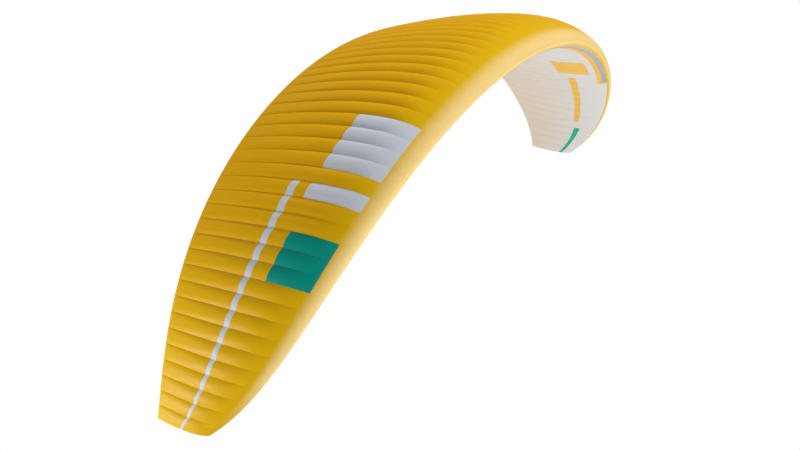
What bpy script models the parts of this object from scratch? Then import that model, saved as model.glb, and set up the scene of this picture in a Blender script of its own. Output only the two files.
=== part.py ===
"""Paraglider canopy, inflated as it flies: 64 air cells between ribs, an upper and a lower skin.

Metres, +Z up. The span runs along X, the leading edge faces -Y and the trailing edge +Y.
The origin is on the underside of the centre rib, where the lines would pull.
"""
import math

import bpy
from mathutils import Matrix, Vector

# Planform, as shares of the half span measured along the arc
HALF_SPAN = 5.8
CENTRE_CHORD = 0.435
# each row: power of the span share, how far the leading edge and the trailing edge move in
EDGE_TERMS = (
    {"power": 2, "leading": 0.130, "trailing": 0.028},
    {"power": 4, "leading": 0.085, "trailing": 0.038},
    {"power": 12, "leading": 0.054, "trailing": -0.026},
)

# Arc and twist
TIP_ROLL = math.radians(72.5)
ROLL_LINEAR_SHARE = 0.86
CENTRE_INCIDENCE = math.radians(-0.4)
TIP_TWIST = math.radians(-2.1)
TWIST_PIVOT = 0.3

# Aerofoil, as shares of the chord
THICKNESS = 0.168
CAMBER = 0.023
CAMBER_AT = 0.22
# half thickness of a profile as thick as its chord: square root, then first to fourth power of the place
ROOT_TERM = 0.2969
POWER_TERMS = (-0.1260, -0.3516, 0.2843, -0.1036)

# Cells
CELLS_PER_HALF = 32
CELLS_PER_RIB = 2
# ribs where two sections of skin meet, counted from the centre; the outer two sections have no intakes
SECTION_EDGES = (-32, -26, -20, -10, 0, 10, 20, 26, 32)
LAST_INTAKE_RIB = 20
TIP_CELL_NARROWING = 0.06
UPPER_BILLOW = 0.10
LOWER_BILLOW = 0.06
BILLOW_FULL_AT = 0.32
BILLOW_RISE = 0.8
BILLOW_FALL = 5

# Cloth and sewing gaps
CLOTH = 0.002
GAP = 0.0003
SECTION_END_GAP = 0.0005
HANG_AT = 0.3
RIB_TAIL = 0.97

# Air intake on the underside of the nose, as shares of the chord
INTAKE_FRONT = 0.020
INTAKE_BACK = 0.052

# Chord stations: the upper skin wraps round the nose to the intake's front lip
UPPER_TOP = (1.0, 0.80, 0.55, 0.32, 0.14, 0.04, 0.0)
UPPER_UNDER_NOSE = (0.007, INTAKE_FRONT)
LOWER_BEHIND_INTAKE = (0.20, 0.50, 0.78, 1.0)

ARC_STEPS = 400
SLOPE_STEP = 0.002
CLOTH_ROUGHNESS = 0.55
YELLOW = (0.69, 0.43, 0.0, 1.0)
WHITE = (0.80, 0.78, 0.72, 1.0)
RIB_WHITE = (0.86, 0.86, 0.84, 1.0)


def roll_at(share):
    """Roll of the section at a share of the half span, signed with the side."""
    return TIP_ROLL * (ROLL_LINEAR_SHARE * share + (1.0 - ROLL_LINEAR_SHARE) * share ** 3)


def arc_table():
    """Running place of the arc from the centre to the tip, one point a step."""
    points = [(0.0, 0.0)]
    step = 1.0 / ARC_STEPS
    for i in range(ARC_STEPS):
        roll = roll_at((i + 0.5) * step)
        x, z = points[-1]
        points.append((x + step * math.cos(roll), z - step * math.sin(roll)))
    return points


ARC = arc_table()


def arc_at(share):
    """Place on the arc, in metres, of a signed share of the half span."""
    place = min(abs(share), 1.0) * ARC_STEPS
    index = min(int(place), ARC_STEPS - 1)
    part = place - index
    x = ARC[index][0] + part * (ARC[index + 1][0] - ARC[index][0])
    z = ARC[index][1] + part * (ARC[index + 1][1] - ARC[index][1])
    return math.copysign(x, share) * HALF_SPAN, z * HALF_SPAN


def section(share):
    """Chord and frame of the section: X aft along the chord, Y out of the upper skin, Z along the span."""
    a = abs(share)
    leading = sum(row["leading"] * a ** row["power"] for row in EDGE_TERMS) * HALF_SPAN
    cut = sum(row["trailing"] * a ** row["power"] for row in EDGE_TERMS) * HALF_SPAN
    chord = CENTRE_CHORD * HALF_SPAN - cut - leading
    roll = roll_at(share)
    pitch = CENTRE_INCIDENCE + TIP_TWIST * a * a
    x, z = arc_at(share)
    aft = Vector((0.0, 1.0, 0.0))
    up = Vector((math.sin(roll), 0.0, math.cos(roll)))
    chord_way = aft * math.cos(pitch) - up * math.sin(pitch)
    skin_way = aft * math.sin(pitch) + up * math.cos(pitch)
    pivot = TWIST_PIVOT * chord
    nose = Vector((x, leading, z)) + aft * pivot - chord_way * pivot
    turn = Matrix((chord_way, skin_way, chord_way.cross(skin_way))).transposed()
    return chord, Matrix.Translation(nose) @ turn.to_4x4()


def camber_at(x):
    if x < CAMBER_AT:
        return CAMBER / CAMBER_AT ** 2 * (2.0 * CAMBER_AT * x - x * x)
    return CAMBER / (1.0 - CAMBER_AT) ** 2 * (1.0 - 2.0 * CAMBER_AT + 2.0 * CAMBER_AT * x - x * x)


def profile(x, side, chord):
    """Middle of the skin in the section's plane, in metres; side is 1 for upper, -1 for lower."""
    terms = sum(term * x ** power for power, term in enumerate(POWER_TERMS, start=1))
    half = 5.0 * THICKNESS * (ROOT_TERM * math.sqrt(x) + terms)
    seam = (CLOTH + GAP) / 2.0 * x
    return Vector((x * chord, (camber_at(x) + side * half) * chord + side * seam))


def outward(x, side, chord):
    """Unit normal of the skin in the section's plane, pointing out of the cell."""
    if x <= 0.0:
        return Vector((-1.0, 0.0))
    ahead = profile(max(x - SLOPE_STEP, 0.0), side, chord)
    behind = profile(min(x + SLOPE_STEP, 1.0), side, chord)
    along = (behind - ahead).normalized()
    return Vector((-along.y, along.x)) * side


def billow_shape(x):
    """How full a cell stands along the chord: slack at the nose and sewn flat at the trailing edge."""
    return min(1.0, (x / BILLOW_FULL_AT) ** BILLOW_RISE) * (1.0 - x ** BILLOW_FALL)


def rib_share(number):
    """Share of the half span of a rib, counted from the centre; outer cells are a little narrower."""
    u = number / CELLS_PER_HALF
    return (1.0 + TIP_CELL_NARROWING) * u - TIP_CELL_NARROWING * u ** 3


def skin_point(share, x, side, bulge):
    chord, frame = section(share)
    flat = profile(x, side, chord) + outward(x, side, chord) * bulge * billow_shape(x)
    return frame @ Vector((flat.x, flat.y, 0.0))


def hang_point():
    return skin_point(0.0, HANG_AT, -1, 0.0)


SHIFT = Matrix.Translation(-hang_point())


def span_rows(first_rib, last_rib, billow):
    """Rows along the span of one section of cells: each rib line and each cell's crown."""
    rows = []
    end = SECTION_END_GAP / HALF_SPAN
    for number in range(first_rib, last_rib + 1):
        share = rib_share(number)
        if number == first_rib:
            share += end
        if number == last_rib:
            share -= end
        rows.append((share, 0.0))
        if number < last_rib:
            low = rib_share(number)
            high = rib_share(number + 1)
            rows.append(((low + high) / 2.0, billow * (high - low) * HALF_SPAN))
    return rows


def new_material(name, colour):
    material = bpy.data.materials.new(name)
    material.use_nodes = True
    shader = material.node_tree.nodes["Principled BSDF"]
    shader.inputs["Base Color"].default_value = colour
    shader.inputs["Roughness"].default_value = CLOTH_ROUGHNESS
    shader.inputs["Metallic"].default_value = 0.0
    return material


def skin_object(name, rows, stations, colour, collection):
    """Loft of one skin section through its span rows, given the cloth's thickness by Solidify."""
    points = [SHIFT @ skin_point(share, x, side, bulge) for share, bulge in rows for x, side in stations]
    wide = len(stations)
    faces = []
    for row in range(len(rows) - 1):
        for column in range(wide - 1):
            corner = row * wide + column
            faces.append((corner, corner + 1, corner + wide + 1, corner + wide))
    mesh = bpy.data.meshes.new(name)
    mesh.from_pydata(points, [], faces)
    mesh.materials.append(new_material(name, colour))
    skin = bpy.data.objects.new(name, mesh)
    collection.objects.link(skin)
    cloth = skin.modifiers.new("Cloth", "SOLIDIFY")
    cloth.thickness = CLOTH
    cloth.offset = 0.0
    return skin


def upper_stations():
    return [(x, 1) for x in UPPER_TOP] + [(x, -1) for x in UPPER_UNDER_NOSE]


def lower_stations(closed, share):
    stations = (INTAKE_BACK,) + LOWER_BEHIND_INTAKE
    if closed:
        stations = (INTAKE_FRONT + 2.0 * SECTION_END_GAP / section(share)[0],) + stations
    return [(x, -1) for x in stations]


def tail_point(station, side, chord):
    """Point on the straight run of skin from its last station to the trailing edge."""
    before = profile(station, side, chord)
    after = profile(1.0, side, chord)
    return before.lerp(after, (RIB_TAIL * chord - before.x) / (after.x - before.x))


def edge_normal(start, end):
    """Unit normal to the left of an edge, which is the inner side of a rib's outline."""
    along = (end - start).normalized()
    return Vector((-along.y, along.x))


def rib_inset(share):
    """Distance from the middle of the skins to a rib, larger where the swept nose crosses it at a slant."""
    a = abs(share)
    slope = sum(row["power"] * row["leading"] * a ** (row["power"] - 1) for row in EDGE_TERMS)
    return CLOTH / 2.0 * (math.hypot(1.0, slope) + slope) + 2.0 * GAP


def rib_outline(chord, inset):
    """Rib profile inside both skins, from the tail over the top, round the nose and back below."""
    under = UPPER_UNDER_NOSE + (INTAKE_BACK,) + LOWER_BEHIND_INTAKE[:-1]
    line = [tail_point(UPPER_TOP[1], 1, chord)]
    line += [profile(x, 1, chord) for x in UPPER_TOP[1:]]
    line += [profile(x, -1, chord) for x in under]
    line.append(tail_point(under[-1], -1, chord))
    normals = [edge_normal(line[i], line[i + 1]) for i in range(len(line) - 1)]
    normals = [normals[0]] + normals + [normals[-1]]
    inner = []
    for place, before, after in zip(line, normals, normals[1:]):
        inner.append(place + (before + after) * (inset / (1.0 + before.dot(after))))
    return inner


def rib_object(number, collection):
    """Flat cloth rib: a filled outline in the section's plane, as thick as the cloth."""
    share = rib_share(number)
    if abs(number) == CELLS_PER_HALF:
        share -= math.copysign((CLOTH / 2.0 + GAP) / HALF_SPAN, number)
    chord, frame = section(share)
    name = f"rib_{number + CELLS_PER_HALF:02d}"
    curve = bpy.data.curves.new(name, "CURVE")
    curve.dimensions = "2D"
    curve.fill_mode = "BOTH"
    curve.extrude = CLOTH / 2.0
    outline = rib_outline(chord, rib_inset(share))
    spline = curve.splines.new("POLY")
    spline.points.add(len(outline) - 1)
    for point, place in zip(spline.points, outline):
        point.co = (place.x, place.y, 0.0, 1.0)
    spline.use_cyclic_u = True
    curve.materials.append(new_material(name, RIB_WHITE))
    rib = bpy.data.objects.new(name, curve)
    rib.matrix_world = SHIFT @ frame
    collection.objects.link(rib)
    return rib


def build():
    for old in list(bpy.context.scene.objects):
        bpy.data.objects.remove(old, do_unlink=True)
    canopy = bpy.data.collections.new("paraglider_wing")
    bpy.context.scene.collection.children.link(canopy)
    for index, (first_rib, last_rib) in enumerate(zip(SECTION_EDGES, SECTION_EDGES[1:]), start=1):
        middle = rib_share((first_rib + last_rib) / 2)
        upper_rows = span_rows(first_rib, last_rib, UPPER_BILLOW)
        lower_rows = span_rows(first_rib, last_rib, LOWER_BILLOW)
        closed = max(abs(first_rib), abs(last_rib)) > LAST_INTAKE_RIB
        skin_object(f"upper_skin_{index}", upper_rows, upper_stations(), YELLOW, canopy)
        skin_object(f"lower_skin_{index}", lower_rows, lower_stations(closed, middle), WHITE, canopy)
    for number in range(-CELLS_PER_HALF, CELLS_PER_HALF + 1, CELLS_PER_RIB):
        rib_object(number, canopy)


build()
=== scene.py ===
"""Looks of the paraglider canopy: billowed upper and lower cloth, ribs, seams, colours and light."""
import math

import bpy
import numpy as np
from mathutils import Matrix, Vector


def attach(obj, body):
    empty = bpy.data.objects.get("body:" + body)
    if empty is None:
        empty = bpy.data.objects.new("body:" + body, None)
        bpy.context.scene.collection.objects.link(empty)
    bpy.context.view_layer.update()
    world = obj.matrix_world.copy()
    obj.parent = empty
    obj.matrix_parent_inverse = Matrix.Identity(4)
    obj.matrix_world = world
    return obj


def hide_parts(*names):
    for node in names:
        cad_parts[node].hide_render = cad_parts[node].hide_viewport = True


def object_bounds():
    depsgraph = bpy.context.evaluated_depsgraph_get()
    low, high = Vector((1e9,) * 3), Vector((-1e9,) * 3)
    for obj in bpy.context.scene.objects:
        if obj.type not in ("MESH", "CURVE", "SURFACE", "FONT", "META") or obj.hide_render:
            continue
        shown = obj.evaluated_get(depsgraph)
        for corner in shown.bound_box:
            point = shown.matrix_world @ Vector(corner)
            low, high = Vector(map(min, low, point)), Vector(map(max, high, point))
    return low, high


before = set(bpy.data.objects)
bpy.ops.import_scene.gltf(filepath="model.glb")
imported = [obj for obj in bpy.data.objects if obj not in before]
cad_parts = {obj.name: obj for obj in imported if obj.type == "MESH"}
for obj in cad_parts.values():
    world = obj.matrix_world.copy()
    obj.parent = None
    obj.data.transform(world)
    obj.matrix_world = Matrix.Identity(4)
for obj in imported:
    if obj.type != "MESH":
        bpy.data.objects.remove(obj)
cad_low, cad_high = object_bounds()

# Planform, as shares of the half span measured along the arc, as the solids have it
HALF_SPAN = 5.8
CENTRE_CHORD = 0.435
# each row: power of the span share, how far the leading edge and the trailing edge move in
EDGE_TERMS = (
    {"power": 2, "leading": 0.130, "trailing": 0.028},
    {"power": 4, "leading": 0.085, "trailing": 0.038},
    {"power": 12, "leading": 0.054, "trailing": -0.026},
)
TIP_ROLL = math.radians(72.5)
ROLL_LINEAR_SHARE = 0.86
CENTRE_INCIDENCE = math.radians(-0.4)
TIP_TWIST = math.radians(-2.1)
TWIST_PIVOT = 0.3

# Aerofoil, as shares of the chord
THICKNESS = 0.168
CAMBER = 0.023
CAMBER_AT = 0.22
ROOT_TERM = 0.2969
POWER_TERMS = (-0.1260, -0.3516, 0.2843, -0.1036)
INTAKE_FRONT = 0.020
INTAKE_BACK = 0.052
HANG_AT = 0.3

# Cells
CELLS = 64
HALF_CELLS = CELLS // 2
# ribs where two sections of skin meet; cells beyond the last intake rib have closed noses
SECTION_EDGES = (-32, -26, -20, -10, 0, 10, 20, 26, 32)
LAST_INTAKE_RIB = 20
TIP_CELL_NARROWING = 0.06
CLOTH = 0.0012
SEAM_GAP = 0.0003
RIB_CLEAR = 0.0034
RIB_NOSE = 0.0016
RIB_TAIL = 0.985

# Fineness of the visual cloth
STEPS_PER_CELL = 12
UPPER_STEPS = 140
LOWER_STEPS = 84
EVEN_SHARE = 0.06
RIB_STEPS = 40
RIB_ROWS = 4
ARC_STEPS = 2000


# ---------------------------------------------------------------- shape of the wing

def roll_at(share):
    return TIP_ROLL * (ROLL_LINEAR_SHARE * share + (1.0 - ROLL_LINEAR_SHARE) * share ** 3)


def arc_places():
    """Running place of the arc from the centre to the tip, in metres."""
    middle = (np.arange(ARC_STEPS) + 0.5) / ARC_STEPS
    step = HALF_SPAN / ARC_STEPS
    x = np.concatenate([[0.0], np.cumsum(np.cos(roll_at(middle))) * step])
    z = np.concatenate([[0.0], np.cumsum(-np.sin(roll_at(middle))) * step])
    return np.linspace(0.0, 1.0, ARC_STEPS + 1), x, z


ARC_SHARE, ARC_X, ARC_Z = arc_places()


def rib_share(number):
    """Share of the half span at a cell coordinate counted from the centre; outer cells are narrower."""
    u = number / HALF_CELLS
    return (1.0 + TIP_CELL_NARROWING) * u - TIP_CELL_NARROWING * u ** 3


def chord_at(share):
    a = np.abs(share)
    moved = sum((row["leading"] + row["trailing"]) * a ** row["power"] for row in EDGE_TERMS)
    return (CENTRE_CHORD - moved) * HALF_SPAN


def section_frames(share):
    """Nose places and the aft, skin-outward ways of the sections at signed span shares."""
    a = np.abs(share)
    leading = sum(row["leading"] * a ** row["power"] for row in EDGE_TERMS) * HALF_SPAN
    chord = chord_at(share)
    roll = roll_at(share)
    pitch = CENTRE_INCIDENCE + TIP_TWIST * a * a
    x = np.interp(a, ARC_SHARE, ARC_X) * np.sign(share)
    z = np.interp(a, ARC_SHARE, ARC_Z)
    zero = np.zeros_like(a)
    aft = np.stack([zero, zero + 1.0, zero], -1)
    up = np.stack([np.sin(roll), zero, np.cos(roll)], -1)
    chord_way = aft * np.cos(pitch)[..., None] - up * np.sin(pitch)[..., None]
    skin_way = aft * np.sin(pitch)[..., None] + up * np.cos(pitch)[..., None]
    pivot = (TWIST_PIVOT * chord)[..., None]
    nose = np.stack([x, leading, z], -1) + aft * pivot - chord_way * pivot
    return nose, chord_way, skin_way, chord


def camber_at(x):
    front = CAMBER / CAMBER_AT ** 2 * (2.0 * CAMBER_AT * x - x * x)
    back = CAMBER / (1.0 - CAMBER_AT) ** 2 * (1.0 - 2.0 * CAMBER_AT + 2.0 * CAMBER_AT * x - x * x)
    return np.where(x < CAMBER_AT, front, back)


def half_thickness(x):
    terms = sum(term * x ** power for power, term in enumerate(POWER_TERMS, start=1))
    return 5.0 * THICKNESS * (ROOT_TERM * np.sqrt(x) + terms)


def profile(t, chord):
    """Skin line and its outward normal in the section's plane.

    t runs from 1 at the trailing edge over the upper skin to 0 at the nose, and on to -1 at the
    trailing edge below, so abs(t) is the share of the chord and its sign is the skin.
    """
    def place(value):
        x = np.minimum(np.abs(value), 1.0)
        side = np.where(value < 0.0, -1.0, 1.0)
        seam = (CLOTH + SEAM_GAP) / 2.0 * x * side
        return x * chord, (camber_at(x) + side * half_thickness(x)) * chord + seam

    step = 0.0004
    x, y = place(t)
    xa, ya = place(np.minimum(t + step, 1.0))
    xb, yb = place(np.maximum(t - step, -1.0))
    length = np.hypot(xa - xb, ya - yb)
    return x, y, -(ya - yb) / length, (xa - xb) / length


def wing_point(share, t, bulge):
    """Place on the skin, with the cloth standing out of the rib line by bulge, in metres."""
    nose, chord_way, skin_way, chord = section_frames(share)
    x, y, nx, ny = profile(t, chord)
    x = x + nx * bulge
    y = y + ny * bulge
    return nose + chord_way * x[..., None] + skin_way * y[..., None]


HANG = wing_point(np.array(0.0), np.array(-HANG_AT), np.array(0.0))


# ---------------------------------------------------------------- cloth in the cells

UPPER_BILLOW = 0.125
LOWER_BILLOW = 0.055
NOSE_BILLOW = 0.06
BILLOW_STARTS = 0.04
BILLOW_FULL = 0.28
TAIL_SHARE = 0.50
CROWN_POWER = 2.1
TAIL_CROWN_POWER = 4.4
PUCKER = 0.0010
PUCKER_REACH = 0.028
PUCKER_WAVE = 0.115
FOLD_ANGLE = math.radians(17.0)


def smooth_step(low, high, value):
    part = np.clip((value - low) / (high - low), 0.0, 1.0)
    return part * part * (3.0 - 2.0 * part)


def billow_along(x):
    """How full a cell stands along the chord: nearly flat at the nose, lower toward the tail."""
    rise = NOSE_BILLOW + (1.0 - NOSE_BILLOW) * smooth_step(BILLOW_STARTS, BILLOW_FULL, x)
    return rise * (1.0 - (1.0 - TAIL_SHARE) * smooth_step(0.5, 0.96, x)) * (1.0 - x ** 40)


def cloth_height(cell, t, amount):
    """How far the cloth stands off the rib line: the cell's billow and the puckers along its seams."""
    x = np.abs(t)
    index = np.floor(np.clip(cell, -HALF_CELLS, HALF_CELLS - 1e-6))
    across = cell - index
    width = (rib_share(index + 1) - rib_share(index)) * HALF_SPAN
    power = CROWN_POWER + (TAIL_CROWN_POWER - CROWN_POWER) * smooth_step(0.45, 0.95, x)
    crown = 1.0 - np.abs(2.0 * across - 1.0) ** power
    height = amount * width * crown * billow_along(x)

    # seams draw the cloth in unevenly, each with its own waves
    nearest = np.round(cell)
    away = np.abs(cell - nearest) * width
    along = x * chord_at(rib_share(cell))
    phase = np.sin(nearest * 12.9898) * 43.7
    wave = np.sin(along / PUCKER_WAVE * 2.0 * math.pi + phase)
    wave = wave + 0.6 * np.sin(along / PUCKER_WAVE * 3.37 * math.pi + 1.7 * phase)
    fade = np.exp(-away / PUCKER_REACH) * (1.0 - np.exp(-away / 0.004))
    return height + PUCKER * wave * fade * smooth_step(0.08, 0.3, x) * smooth_step(0.0, 0.05, 1.0 - x)


def clear_selection():
    if bpy.context.object and bpy.context.object.mode != "OBJECT":
        bpy.ops.object.mode_set(mode="OBJECT")
    bpy.ops.object.select_all(action="DESELECT")


def add_grid(name, wide, long):
    """A flat unit grid, laid out ready to be shaped; returns it with its shares across and along."""
    clear_selection()
    bpy.ops.mesh.primitive_grid_add(x_subdivisions=wide, y_subdivisions=long, size=1.0)
    grid = bpy.context.object
    grid.name = name
    grid.data.name = name
    flat = np.empty(len(grid.data.vertices) * 3)
    grid.data.vertices.foreach_get("co", flat)
    flat = flat.reshape(-1, 3)
    return grid, flat[:, 0] + 0.5, flat[:, 1] + 0.5


def place_points(piece, points):
    piece.data.vertices.foreach_set("co", (points - HANG).astype(np.float32).ravel())
    piece.data.update()


def write_map(piece, name, u, v, first=False):
    """A UV map of the piece from one pair of values a vertex."""
    layers = piece.data.uv_layers
    layer = layers[0] if first else layers.new(name=name)
    layer.name = name
    corners = np.empty(len(piece.data.loops), dtype=np.int32)
    piece.data.loops.foreach_get("vertex_index", corners)
    layer.data.foreach_set("uv", np.stack([u[corners], v[corners]], -1).astype(np.float32).ravel())


def face_outwards(piece, ways):
    """Turns the sheet over if its faces point against the given way out."""
    first = piece.data.polygons[len(piece.data.polygons) // 2]
    if first.normal.dot(Vector(ways[first.vertices[0]])) < 0.0:
        piece.data.flip_normals()


def give_thickness(piece, thickness, offset):
    clear_selection()
    piece.select_set(True)
    bpy.context.view_layer.objects.active = piece
    cloth = piece.modifiers.new("Cloth", "SOLIDIFY")
    cloth.thickness = thickness
    cloth.offset = offset
    cloth.material_offset = 1
    bpy.ops.object.modifier_apply(modifier=cloth.name)
    bpy.ops.object.shade_smooth_by_angle(angle=FOLD_ANGLE)


def cell_spread(share, first, last):
    """Cell coordinates across a section, closer together beside the ribs."""
    place = share * (last - first)
    index = np.minimum(np.floor(place + 1e-6), last - first - 1)
    part = place - index
    eased = 0.5 * part + 0.5 * (0.5 - 0.5 * np.cos(math.pi * part))
    edge = SEAM_GAP / 2.0 / HALF_SPAN * HALF_CELLS
    return np.clip(first + index + eased, first + edge, last - edge)


def signed_square(value):
    return value * np.abs(value)


def make_skin(name, first, last, start, end, steps, amount, outside):
    """One section of skin between two chord places, as a billowed sheet with its cut's two maps."""
    piece, across, along = add_grid(name, (last - first) * STEPS_PER_CELL, steps)
    cell = cell_spread(across, first, last)
    low, high = (math.copysign(math.sqrt(abs(value)), value) for value in (start, end))
    even = start + (end - start) * along
    drawn = signed_square(low + (high - low) * along)
    t = EVEN_SHARE * even + (1.0 - EVEN_SHARE) * drawn
    height = cloth_height(cell, t, amount)
    share = rib_share(cell)
    points = wing_point(share, t, height)
    lifted = wing_point(share, t, height + 0.01)
    place_points(piece, points)
    face_outwards(piece, lifted - points)
    write_map(piece, "cut", (cell + HALF_CELLS) / CELLS, (t + 1.0) / 2.0, first=True)
    write_map(piece, "weave", share * HALF_SPAN, t * chord_at(share))
    piece.data.materials.append(outside)
    piece.data.materials.append(LINING)
    give_thickness(piece, CLOTH, -1.0)
    return piece


def skin_cut(first, last, start, end):
    """Width and length of a section's flat cut, and its flat area."""
    cells = np.linspace(first, last, 33)
    share = rib_share(cells)
    t = np.linspace(start, end, 400)
    x, y, _, _ = profile(t, np.array(1.0))
    girth = float(np.hypot(np.diff(x), np.diff(y)).sum())
    lengths = girth * chord_at(share)
    width = float(abs(share[-1] - share[0])) * HALF_SPAN
    area = float(np.sum((lengths[1:] + lengths[:-1]) / 2.0 * np.abs(np.diff(share))) * HALF_SPAN)
    return (round(width, 3), round(float(lengths.max()), 3)), round(area, 3)


def make_rib(number, outside):
    """One flat cloth rib inside the skins, from just behind the nose to just before the tail."""
    name = f"rib_cloth_{number + HALF_CELLS:02d}"
    piece, along, up = add_grid(name, RIB_STEPS, RIB_ROWS)
    share = float(rib_share(number))
    if abs(number) == HALF_CELLS:
        share -= math.copysign((CLOTH + SEAM_GAP) / HALF_SPAN, number)
    chord = chord_at(np.array(share))
    x = RIB_NOSE + (RIB_TAIL - RIB_NOSE) * (0.3 * along + 0.7 * along ** 2)
    slope = sum(row["power"] * row["leading"] * abs(share) ** (row["power"] - 1) for row in EDGE_TERMS)
    clear = RIB_CLEAR + CLOTH / 2.0 * slope
    nose, chord_way, skin_way, _ = section_frames(np.full_like(x, share))
    lines = []
    for side in (1.0, -1.0):
        px, py, nx, ny = profile(x * side, chord)
        lines.append(np.stack([px - nx * clear, py - ny * clear], -1))
    flat = lines[1] + (lines[0] - lines[1]) * up[:, None]
    points = nose + chord_way * flat[:, :1] + skin_way * flat[:, 1:]
    place_points(piece, points)
    write_map(piece, "cut", along, up, first=True)
    write_map(piece, "weave", flat[:, 0], flat[:, 1])
    piece.data.materials.append(outside)
    piece.data.materials.append(outside)
    give_thickness(piece, CLOTH, 0.0)
    size = (round(float(chord), 3), round(float(chord) * THICKNESS, 3))
    stations = (np.arange(200) + 0.5) / 200
    area = float(np.mean(2.0 * half_thickness(stations)) * chord ** 2)
    return piece, size, min(round(area, 4), size[0] * size[1])


# ---------------------------------------------------------------- finishes

# painted highlight: the pale yellow round the nose stands for the sheen of the front light
NOSE_HIGHLIGHT_YELLOW = (0.920, 0.660, 0.235, 1.0)
# painted light tone: the front and tip yellows are yellower than the middle yellow, where the light
# falls brighter
LIT_FRONT_YELLOW = (0.820, 0.490, 0.000, 1.0)
YELLOW = (0.830, 0.435, 0.000, 1.0)
LIT_TIP_YELLOW = (0.780, 0.460, 0.000, 1.0)
GREY = (0.660, 0.700, 0.760, 1.0)
TEAL = (0.000, 0.320, 0.250, 1.0)
WHITE = (0.700, 0.680, 0.658, 1.0)
# painted light: the cream toward the tail stands for warm light coming through the yellow upper cloth
WARM_GLOW_CREAM = (0.740, 0.635, 0.495, 1.0)
UNDER_YELLOW = (0.850, 0.500, 0.060, 1.0)
UNDER_TEAL = (0.010, 0.420, 0.250, 1.0)
RIB_WHITE = (0.780, 0.790, 0.790, 1.0)
LINING_GREY = (0.700, 0.750, 0.770, 1.0)
STITCH_ROW = 0.006
STITCH_LENGTH = 0.0045
RIPSTOP_GRID = 0.006
FOLD_SHADE = 0.08
DOUBLED_SHADE = 0.03
THREAD_SHADE = 0.03

# Plain sewn-in panels: cells counted from the centre, alike on both sides, and shares of the chord
UPPER_PANELS = (
    {"colour": GREY, "first": 11.0, "last": 15.0, "front": 0.055, "back": 0.36},
    {"colour": GREY, "first": 16.0, "last": 17.0, "front": 0.055, "back": 0.36},
    {"colour": TEAL, "first": 19.0, "last": 22.0, "front": 0.055, "back": 0.32},
    {"colour": GREY, "first": 16.0, "last": 33.0, "front": 0.43, "back": 0.475},
)
LOWER_PANELS = (
    {"colour": UNDER_YELLOW, "first": -1.0, "last": 20.0, "front": 0.030, "back": 0.085},
    {"colour": UNDER_YELLOW, "first": 15.0, "last": 18.0, "front": 0.13, "back": 0.36},
    {"colour": UNDER_YELLOW, "first": 19.0, "last": 27.0, "front": 0.25, "back": 0.31},
    {"colour": UNDER_TEAL, "first": 28.0, "last": 33.0, "front": 0.21, "back": 0.28},
)


class Nodes:
    """Short ways to add and join nodes in one tree."""

    def __init__(self, tree):
        self.tree = tree

    def add(self, kind, **settings):
        node = self.tree.nodes.new(kind)
        for name, value in settings.items():
            setattr(node, name, value)
        return node

    def join(self, source, target):
        self.tree.links.new(source, target)

    def feed(self, socket, value):
        if isinstance(value, bpy.types.NodeSocket):
            self.join(value, socket)
        else:
            socket.default_value = value

    def maths(self, operation, first, second=0.0, third=None):
        node = self.add("ShaderNodeMath", operation=operation)
        self.feed(node.inputs[0], first)
        self.feed(node.inputs[1], second)
        if third is not None:
            self.feed(node.inputs[2], third)
        return node.outputs[0]

    def blend(self, factor, first, second, kind="MIX"):
        node = self.add("ShaderNodeMix", data_type="RGBA", blend_type=kind)
        self.feed(node.inputs["Factor"], factor)
        self.feed(node.inputs["A"], first)
        self.feed(node.inputs["B"], second)
        return node.outputs["Result"]

    def ramp(self, value, low, high):
        node = self.add("ShaderNodeMapRange", interpolation_type="SMOOTHSTEP")
        self.feed(node.inputs["Value"], value)
        self.feed(node.inputs["From Min"], low)
        self.feed(node.inputs["From Max"], high)
        return node.outputs["Result"]


def new_group(name, inputs, outputs):
    """An empty shader node group with named sockets; returns it with its helper and both ends."""
    group = bpy.data.node_groups.new(name, "ShaderNodeTree")
    for way, rows in (("INPUT", inputs), ("OUTPUT", outputs)):
        for label, kind in rows:
            group.interface.new_socket(label, in_out=way, socket_type=f"NodeSocket{kind}")
    n = Nodes(group)
    return group, n, n.add("NodeGroupInput").outputs, n.add("NodeGroupOutput").inputs


def cell_place_group():
    """From the cut's map: cells from the centre, share of the chord, distance from the nearest seam."""
    group, n, start, end = new_group(
        "cell_place", [("Cut", "Vector")],
        [("Cells From Centre", "Float"), ("Chord", "Float"), ("From Seam", "Float")])
    parts = n.add("ShaderNodeSeparateXYZ")
    n.join(start["Cut"], parts.inputs[0])
    signed = n.maths("MULTIPLY_ADD", parts.outputs["X"], float(CELLS), -float(HALF_CELLS))
    cells = n.maths("ABSOLUTE", signed)
    chord = n.maths("ABSOLUTE", n.maths("MULTIPLY_ADD", parts.outputs["Y"], 2.0, -1.0))
    near = n.maths("ABSOLUTE", n.maths("SUBTRACT", cells, n.maths("ROUND", cells)))
    n.join(cells, end["Cells From Centre"])
    n.join(chord, end["Chord"])
    n.join(n.maths("MULTIPLY", near, HALF_SPAN / HALF_CELLS), end["From Seam"])
    return group


def panel_group():
    """Mask of a plain panel sewn in between two cell seams and two chord lines."""
    group, n, start, end = new_group(
        "sewn_panel",
        [("Cells", "Float"), ("Chord", "Float"), ("First", "Float"), ("Last", "Float"),
         ("Front", "Float"), ("Back", "Float")],
        [("Inside", "Float")])
    soft_cell, soft_chord = 0.006, 0.0005

    def over(value, edge, soft):
        away = n.maths("SUBTRACT", value, edge)
        return n.ramp(away, -soft, soft)

    inside = over(start["Cells"], start["First"], soft_cell)
    inside = n.maths("MULTIPLY", inside, over(start["Last"], start["Cells"], soft_cell))
    inside = n.maths("MULTIPLY", inside, over(start["Chord"], start["Front"], soft_chord))
    inside = n.maths("MULTIPLY", inside, over(start["Back"], start["Chord"], soft_chord))
    n.join(inside, end["Inside"])
    return group


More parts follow.
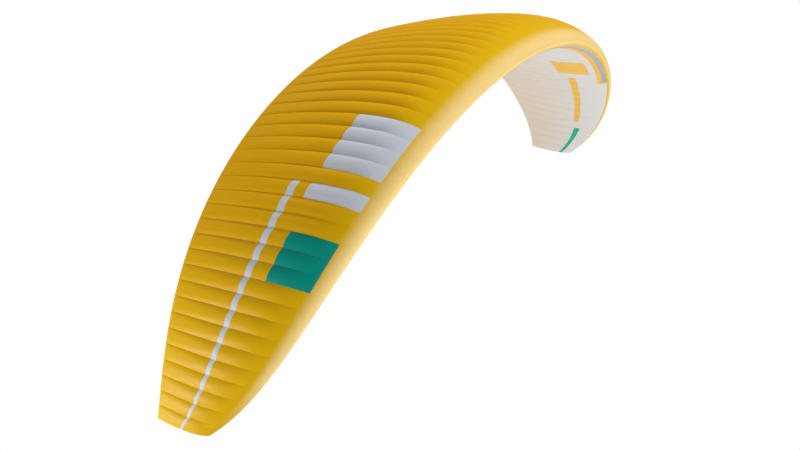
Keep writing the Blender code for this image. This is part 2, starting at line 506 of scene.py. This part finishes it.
def nose_highlight_group():
    """Mask of the pale band round the nose, a painted highlight of the front light, whose rear edge
    waves with the cells.
    """
    group, n, start, end = new_group(
        "nose_highlight_mask", [("Cut", "Vector"), ("Cells", "Float")], [("Inside", "Float")])
    parts = n.add("ShaderNodeSeparateXYZ")
    n.join(start["Cut"], parts.inputs[0])
    t = n.maths("MULTIPLY_ADD", parts.outputs["Y"], 2.0, -1.0)
    wave = n.maths("COSINE", n.maths("MULTIPLY", start["Cells"], 2.0 * math.pi))
    rear = n.maths("MULTIPLY_ADD", wave, 0.001, t)
    top = n.maths("SUBTRACT", 1.0, n.ramp(rear, 0.010, 0.072))
    under = n.ramp(t, -0.014, 0.000)
    inside = n.maths("MULTIPLY", top, under)
    tip = n.maths("SUBTRACT", 1.0, n.ramp(start["Cells"], 27.0, 31.5))
    n.join(n.maths("MULTIPLY", inside, tip), end["Inside"])
    return group


def seam_group():
    """Rib seams: the doubled cloth beside them, the fold line and two rows of stitches."""
    group, n, start, end = new_group(
        "rib_seam", [("From Seam", "Float"), ("Weave", "Vector")],
        [("Doubled", "Float"), ("Fold", "Float"), ("Height", "Float")])
    away = start["From Seam"]
    parts = n.add("ShaderNodeSeparateXYZ")
    n.join(start["Weave"], parts.inputs[0])
    doubled = n.maths("SUBTRACT", 1.0, n.ramp(away, 0.010, 0.013))
    fold = n.maths("SUBTRACT", 1.0, n.ramp(away, 0.0008, 0.0035))
    from_row = n.maths("ABSOLUTE", n.maths("SUBTRACT", away, STITCH_ROW))
    row = n.maths("SUBTRACT", 1.0, n.ramp(from_row, 0.0004, 0.0010))
    turns = n.maths("MULTIPLY", parts.outputs["Y"], 2.0 * math.pi / STITCH_LENGTH)
    dash = n.ramp(n.maths("SINE", turns), -0.3, 0.3)
    stitch = n.maths("MULTIPLY", row, dash)
    height = n.maths("ADD", n.maths("MULTIPLY", doubled, 0.3), n.maths("MULTIPLY", stitch, 0.6))
    n.join(doubled, end["Doubled"])
    n.join(fold, end["Fold"])
    n.join(n.maths("SUBTRACT", height, n.maths("MULTIPLY", fold, 1.0)), end["Height"])
    return group


def ripstop_group():
    """Fine woven cloth with a square grid of thicker threads."""
    group, n, start, end = new_group(
        "ripstop", [("Weave", "Vector"), ("Grid", "Float")],
        [("Height", "Float"), ("Threads", "Float")])
    parts = n.add("ShaderNodeSeparateXYZ")
    n.join(start["Weave"], parts.inputs[0])
    lines = []
    for way in ("X", "Y"):
        place = n.maths("DIVIDE", parts.outputs[way], start["Grid"])
        near = n.maths("ABSOLUTE", n.maths("SUBTRACT", place, n.maths("ROUND", place)))
        lines.append(n.maths("SUBTRACT", 1.0, n.ramp(near, 0.03, 0.09)))
    threads = n.maths("MAXIMUM", lines[0], lines[1])
    n.join(threads, end["Height"])
    n.join(threads, end["Threads"])
    return group


def tone_group():
    """Slow changes of tone in the dyed cloth and faint packing creases."""
    group, n, start, end = new_group(
        "cloth_tone", [("Place", "Vector"), ("Amount", "Float")],
        [("Tone", "Float"), ("Crease", "Float")])
    wide = n.add("ShaderNodeTexNoise")
    n.join(start["Place"], wide.inputs["Vector"])
    wide.inputs["Scale"].default_value = 1.3
    wide.inputs["Detail"].default_value = 4.0
    centred = n.maths("SUBTRACT", wide.outputs["Fac"], 0.5)
    n.join(n.maths("MULTIPLY_ADD", centred, start["Amount"], 1.0), end["Tone"])
    lines = n.add("ShaderNodeTexNoise")
    n.join(start["Place"], lines.inputs["Vector"])
    lines.inputs["Scale"].default_value = 9.0
    lines.inputs["Detail"].default_value = 5.0
    lines.inputs["Roughness"].default_value = 0.62
    n.join(lines.outputs["Fac"], end["Crease"])
    return group


GROUPS = {
    "place": cell_place_group(),
    "panel": panel_group(),
    "nose_highlight": nose_highlight_group(),
    "seam": seam_group(),
    "ripstop": ripstop_group(),
    "tone": tone_group(),
}


def use_group(n, key, **values):
    node = n.add("ShaderNodeGroup")
    node.node_tree = GROUPS[key]
    for name, value in values.items():
        n.feed(node.inputs[name.replace("_", " ")], value)
    return node.outputs


def cloth_material(name, front, back, turn, panels, roughness, specular, nose_highlight=None, tip=None, glow=0.0):
    """Coated ripstop: front turns to back between two chord places; panels, seams, weave and bump.

    nose_highlight is the pale colour round the nose, a painted highlight; tip is the tone toward the
    wing's ends, yellower where the light falls brighter, a painted light tone; and glow is painted
    light, an emission standing in for the daylight that comes through thin cloth on surfaces inside the
    wing.
    """
    material = bpy.data.materials.new(name)
    material.use_nodes = True
    n = Nodes(material.node_tree)
    shader = material.node_tree.nodes["Principled BSDF"]
    cut = n.add("ShaderNodeUVMap", uv_map="cut").outputs[0]
    weave = n.add("ShaderNodeUVMap", uv_map="weave").outputs[0]
    place = n.add("ShaderNodeTexCoord").outputs["Object"]
    where = use_group(n, "place", Cut=cut)
    seam = use_group(n, "seam", From_Seam=where["From Seam"], Weave=weave)
    ripstop = use_group(n, "ripstop", Weave=weave, Grid=RIPSTOP_GRID)
    tone = use_group(n, "tone", Place=place, Amount=0.05)

    colour = n.blend(n.ramp(where["Chord"], turn[0], turn[1]), front, back)
    # painted light tone: yellower toward the tips, where the light falls brighter
    if tip:
        colour = n.blend(n.ramp(where["Cells From Centre"], 13.0, 29.0), colour, tip)
    # painted highlight round the nose
    if nose_highlight:
        mask = use_group(n, "nose_highlight", Cut=cut, Cells=where["Cells From Centre"])
        colour = n.blend(mask["Inside"], colour, nose_highlight)
    for panel in panels:
        mask = use_group(
            n, "panel", Cells=where["Cells From Centre"], Chord=where["Chord"],
            First=panel["first"], Last=panel["last"], Front=panel["front"], Back=panel["back"])
        colour = n.blend(mask["Inside"], colour, panel["colour"])
    full = n.ramp(where["Chord"], 0.06, 0.30)
    fade = n.maths("MULTIPLY_ADD", full, 0.8, 0.2)
    doubled = n.maths("MULTIPLY", seam["Doubled"], DOUBLED_SHADE)
    dark = n.maths("MULTIPLY_ADD", seam["Fold"], FOLD_SHADE, doubled)
    shade = n.maths("SUBTRACT", tone["Tone"], n.maths("MULTIPLY", dark, fade))
    shade = n.maths("SUBTRACT", shade, n.maths("MULTIPLY", ripstop["Threads"], THREAD_SHADE))
    grey = n.add("ShaderNodeCombineColor")
    for channel in ("Red", "Green", "Blue"):
        n.join(shade, grey.inputs[channel])
    colour = n.blend(1.0, colour, grey.outputs[0], kind="MULTIPLY")
    n.join(colour, shader.inputs["Base Color"])
    rough = n.maths("MULTIPLY_ADD", n.maths("SUBTRACT", tone["Crease"], 0.5), 0.12, roughness)
    n.join(rough, shader.inputs["Roughness"])

    height = n.maths("MULTIPLY_ADD", ripstop["Height"], 0.25, n.maths("MULTIPLY", seam["Height"], full))
    height = n.maths("ADD", height, n.maths("MULTIPLY", tone["Crease"], 2.2))
    bump = n.add("ShaderNodeBump")
    bump.inputs["Strength"].default_value = 0.35
    bump.inputs["Distance"].default_value = 0.0012
    n.join(height, bump.inputs["Height"])
    n.join(bump.outputs[0], shader.inputs["Normal"])
    shader.inputs["Specular IOR Level"].default_value = specular
    # painted light: the cloth's own colour given off as a glow, standing in for daylight through thin
    # cloth
    if glow > 0.0:
        n.join(colour, shader.inputs["Emission Color"])
        shader.inputs["Emission Strength"].default_value = glow
    return material


def finish(piece):
    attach(piece, "root")


# ---------------------------------------------------------------- the canopy

# upper cloth: painted light tone in its front and tip yellows, and a painted highlight round the nose
UPPER_CLOTH = cloth_material(
    "yellow_upper_cloth", LIT_FRONT_YELLOW, YELLOW, (0.05, 0.24), UPPER_PANELS, 0.42, 0.11,
    nose_highlight=NOSE_HIGHLIGHT_YELLOW, tip=LIT_TIP_YELLOW)
# lower cloth: white at the front, turning to a painted warm glow of light through the upper cloth
# toward the tail
LOWER_CLOTH = cloth_material(
    "white_lower_cloth", WHITE, WARM_GLOW_CREAM, (0.10, 0.95), LOWER_PANELS, 0.50, 0.30)
# ribs carry a painted glow for daylight through the cloth
RIB_CLOTH = cloth_material(
    "white_rib_cloth", RIB_WHITE, RIB_WHITE, (0.0, 1.0), (), 0.60, 0.20, glow=0.10)
TIP_CLOTH = cloth_material(
    "yellow_tip_cloth", YELLOW, YELLOW, (0.0, 1.0), (), 0.46, 0.30)
# inner faces of the skins: grey, with a painted glow for daylight through the cloth
LINING = cloth_material(
    "lining", LINING_GREY, LINING_GREY, (0.0, 1.0), (), 0.60, 0.20, glow=0.16)


def build_canopy():
    for number in range(-HALF_CELLS, HALF_CELLS + 1):
        tip = abs(number) == HALF_CELLS
        rib, size, area = make_rib(number, TIP_CLOTH if tip else RIB_CLOTH)
        finish(rib)
        if number % 2 == 0:
            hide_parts(f"rib_{number + HALF_CELLS:02d}")
    for index, (first, last) in enumerate(zip(SECTION_EDGES, SECTION_EDGES[1:]), start=1):
        closed = max(abs(first), abs(last)) > LAST_INTAKE_RIB
        front = INTAKE_FRONT + 0.0004 if closed else INTAKE_BACK
        rows = (
            ("upper", 1.0, -INTAKE_FRONT, UPPER_STEPS, UPPER_BILLOW, UPPER_CLOTH),
            ("lower", -front, -1.0, LOWER_STEPS, LOWER_BILLOW, LOWER_CLOTH),
        )
        for side, start, end, steps, amount, material in rows:
            name = f"{side}_cloth_{index}"
            skin = make_skin(name, first, last, start, end, steps, amount, material)
            size, area = skin_cut(first, last, start, end)
            finish(skin)
            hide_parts(f"{side}_skin_{index}")


# ---------------------------------------------------------------- floor, light and camera

CAMERA_PLACE = (-10.525, -6.023, 3.288)
CAMERA_AZIMUTH = math.radians(-55.1)
CAMERA_HEIGHT = math.radians(24.0)
CAMERA_ROLL = math.radians(-4.84)
LENS = 45.7
FLOOR_DROP = 1.6
FLOOR_SIDE = 160.0
SKY = 0.42
SKY_SHINE = 0.10
# a panel without shine lights the cloth and leaves no glare on it
LIGHTS = (
    {"name": "front_panel", "place": (-3.6, -11.0, -3.4), "target": (-1.8, 0.0, -0.7),
     "size": (7.0, 3.0), "power": 570.0, "shine": True},
    {"name": "front_top_panel", "place": (-1.5, -11.0, 5.0), "target": (-1.0, 0.0, 0.0),
     "size": (5.0, 3.0), "power": 150.0, "shine": True},
    {"name": "left_panel", "place": (-9.0, 6.2, -3.2), "target": (-4.0, 1.0, -1.4),
     "size": (2.0, 2.0), "power": 320.0, "shine": True},
    {"name": "right_panel", "place": (20.0, 1.0, 22.0), "target": (0.0, 0.7, -0.2),
     "size": (4.0, 4.0), "power": 6300.0, "shine": False},
    {"name": "fill_panel", "place": (-2.5, 0.5, -3.9), "target": (3.6, 0.8, -1.0),
     "size": (2.5, 2.5), "power": 4.0, "shine": False},
)


def aim(thing, target):
    way = Vector(target) - thing.location
    thing.rotation_euler = way.to_track_quat("-Z", "Y").to_euler()


def add_light(name, place, target, size, power, shine):
    data = bpy.data.lights.new(name, "AREA")
    data.shape = "RECTANGLE"
    data.size, data.size_y = size
    data.energy = power
    lamp = bpy.data.objects.new(name, data)
    lamp.location = place
    aim(lamp, target)
    lamp.visible_camera = False
    lamp.visible_glossy = shine
    bpy.context.scene.collection.objects.link(lamp)


def make_floor():
    clear_selection()
    bpy.ops.mesh.primitive_plane_add(size=FLOOR_SIDE, location=(0.0, 0.0, cad_low[2] - FLOOR_DROP))
    floor = bpy.context.object
    floor.name = "studio_floor"
    material = bpy.data.materials.new("studio_floor")
    material.use_nodes = True
    tree = material.node_tree
    n = Nodes(tree)
    shader = tree.nodes["Principled BSDF"]
    shader.inputs["Base Color"].default_value = (0.9, 0.9, 0.9, 1.0)
    shader.inputs["Roughness"].default_value = 0.9
    glow = n.add("ShaderNodeEmission")
    glow.inputs["Strength"].default_value = 1.0
    path = n.add("ShaderNodeLightPath")
    both = n.add("ShaderNodeMixShader")
    n.join(path.outputs["Is Camera Ray"], both.inputs[0])
    n.join(shader.outputs[0], both.inputs[1])
    n.join(glow.outputs[0], both.inputs[2])
    n.join(both.outputs[0], tree.nodes["Material Output"].inputs["Surface"])
    floor.data.materials.append(material)


def make_world():
    world = bpy.data.worlds.new("studio")
    bpy.context.scene.world = world
    world.use_nodes = True
    tree = world.node_tree
    n = Nodes(tree)
    back = tree.nodes["Background"]
    back.inputs["Color"].default_value = (1.0, 1.0, 1.0, 1.0)
    path = n.add("ShaderNodeLightPath")
    shine = n.maths("MULTIPLY_ADD", path.outputs["Is Glossy Ray"], SKY_SHINE - SKY, SKY)
    seen = n.maths("MULTIPLY_ADD", path.outputs["Is Camera Ray"], 1.0 - SKY, shine)
    n.join(seen, back.inputs["Strength"])


def make_camera():
    data = bpy.data.cameras.new("camera")
    data.lens = LENS
    data.sensor_width = 36.0
    data.clip_end = 500.0
    camera = bpy.data.objects.new("camera", data)
    back = Vector((
        math.sin(CAMERA_AZIMUTH) * math.cos(CAMERA_HEIGHT),
        -math.cos(CAMERA_AZIMUTH) * math.cos(CAMERA_HEIGHT),
        math.sin(CAMERA_HEIGHT)))
    right = (-back).cross(Vector((0.0, 0.0, 1.0))).normalized()
    up = right.cross(-back)
    turned_right = right * math.cos(CAMERA_ROLL) + up * math.sin(CAMERA_ROLL)
    turned_up = up * math.cos(CAMERA_ROLL) - right * math.sin(CAMERA_ROLL)
    turn = Matrix((turned_right, turned_up, back)).transposed().to_4x4()
    camera.matrix_world = Matrix.Translation(CAMERA_PLACE) @ turn
    bpy.context.scene.collection.objects.link(camera)
    bpy.context.scene.camera = camera


make_camera()
build_canopy()
make_floor()
make_world()
for light in LIGHTS:
    add_light(**light)
bpy.context.scene.view_settings.view_transform = "Standard"
